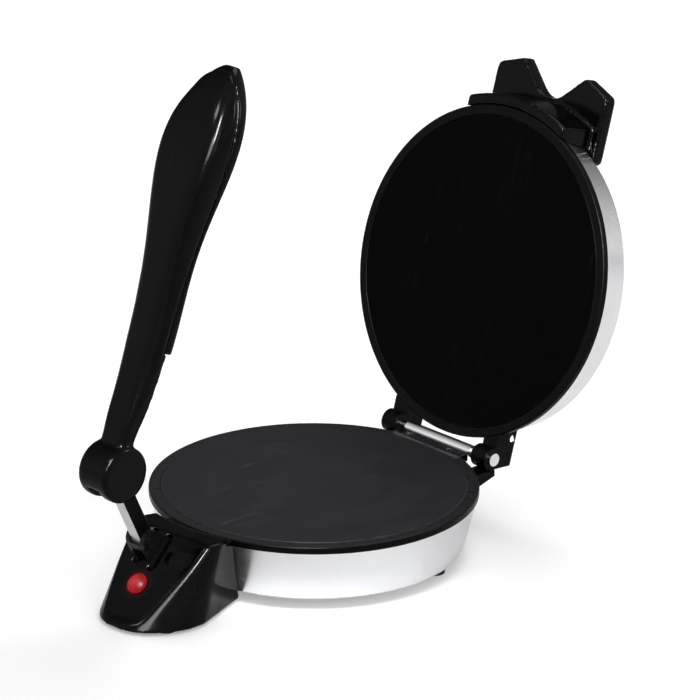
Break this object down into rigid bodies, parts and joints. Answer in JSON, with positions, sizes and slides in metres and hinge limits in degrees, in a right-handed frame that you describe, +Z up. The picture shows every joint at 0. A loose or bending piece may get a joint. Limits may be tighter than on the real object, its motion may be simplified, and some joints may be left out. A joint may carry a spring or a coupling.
{
  "type": "electric roti maker",
  "caption": "Countertop electric roti maker: round heated base with a drip-free steel skirt, hinged heated lid, front control housing with lamp, and a linked press lever.",
  "frame": {"origin": "centre of the round base at table level", "axes": "+Z up, +Y back towards the lid hinge, +X to the right of someone who stands at the control housing and looks along +Y"},
  "size_m": [0.234, 0.4503, 0.378],
  "materials": {
    "black_plastic": "glossy black moulding",
    "black_steel": "black painted steel",
    "chromed_steel": "bright chromed steel",
    "cream_plastic": "cream nylon",
    "dark_plastic": "satin black moulding",
    "insulation": "ceramic fibre sheet",
    "neon_glass": "small neon lamp",
    "non_stick_black": "cast aluminium with a black non-stick coat",
    "non_stick_grey": "cast aluminium with a dark grey non-stick coat",
    "plain_steel": "zinc-plated steel",
    "polished_steel": "polished stainless sheet",
    "red_lens": "translucent red lens",
    "rubber": "black rubber"
  },
  "bodies": {
    "base": {"base_rim": "dark_plastic", "base_skirt": "polished_steel", "bottom_pan": "plain_steel", "bracket_nuts": "plain_steel", "bracket_screws": "plain_steel", "control_housing": "black_plastic", "cord_gland": "rubber", "foot_nuts": "plain_steel", "foot_screws": "plain_steel", "hinge_leaf": "chromed_steel", "hinge_leaf_screws": "chromed_steel", "hinge_rod": "chromed_steel", "hinge_stop_left": "dark_plastic", "hinge_stop_right": "dark_plastic", "hinge_stop_screws": "plain_steel", "housing_floor": "dark_plastic", "housing_floor_screws": "plain_steel", "housing_screws": "plain_steel", "lamp_lens": "red_lens", "lamp_neon": "neon_glass", "link_pin": "plain_steel", "lower_clamp_plate": "plain_steel", "lower_heat_shield": "plain_steel", "lower_heating_element": "plain_steel", "lower_insulation": "insulation", "lower_plate": "non_stick_grey", "lower_sleeves": "plain_steel", "lower_thermal_fuse": "plain_steel", "lower_tie_screws": "plain_steel", "nose_pads": "rubber", "pivot_bracket": "black_steel", "rubber_feet": "rubber", "terminal_block": "cream_plastic", "thermostat": "cream_plastic", "thermostat_screws": "plain_steel"},
    "lid": {"lid_arm_left": "dark_plastic", "lid_arm_right": "dark_plastic", "lid_arm_screws": "plain_steel", "lid_clamp_plate": "plain_steel", "lid_cover": "polished_steel", "lid_heat_shield": "plain_steel", "lid_heating_element": "plain_steel", "lid_insulation": "insulation", "lid_plate": "non_stick_black", "lid_rim": "dark_plastic", "lid_sleeves": "plain_steel", "lid_thermal_fuse": "plain_steel", "lid_tie_screws": "plain_steel", "press_saddle": "black_plastic", "saddle_screws": "plain_steel"},
    "link": {"link": "chromed_steel"},
    "lever": {"lever_handle": "black_plastic", "lever_grip_cover": "black_plastic", "grip_screws": "plain_steel", "lever_pin": "plain_steel"}
  },
  "joints": [
    {"name": "lid_hinge", "type": "hinge", "parent": "base", "child": "lid", "pos_m": [0, 0.1228, 0.05], "axis": [1, 0, 0], "range_deg": [0, 106.8]},
    {"name": "link_swing", "type": "hinge", "parent": "base", "child": "link", "pos_m": [0, -0.161, 0.055], "axis": [-1, 0, 0], "range_deg": [0, 50.5]},
    {"name": "lever_pivot", "type": "hinge", "parent": "link", "child": "lever", "pos_m": [0, -0.18887, 0.11239], "axis": [-1, 0, 0], "range_deg": [-70, 1.5]}
  ]
}
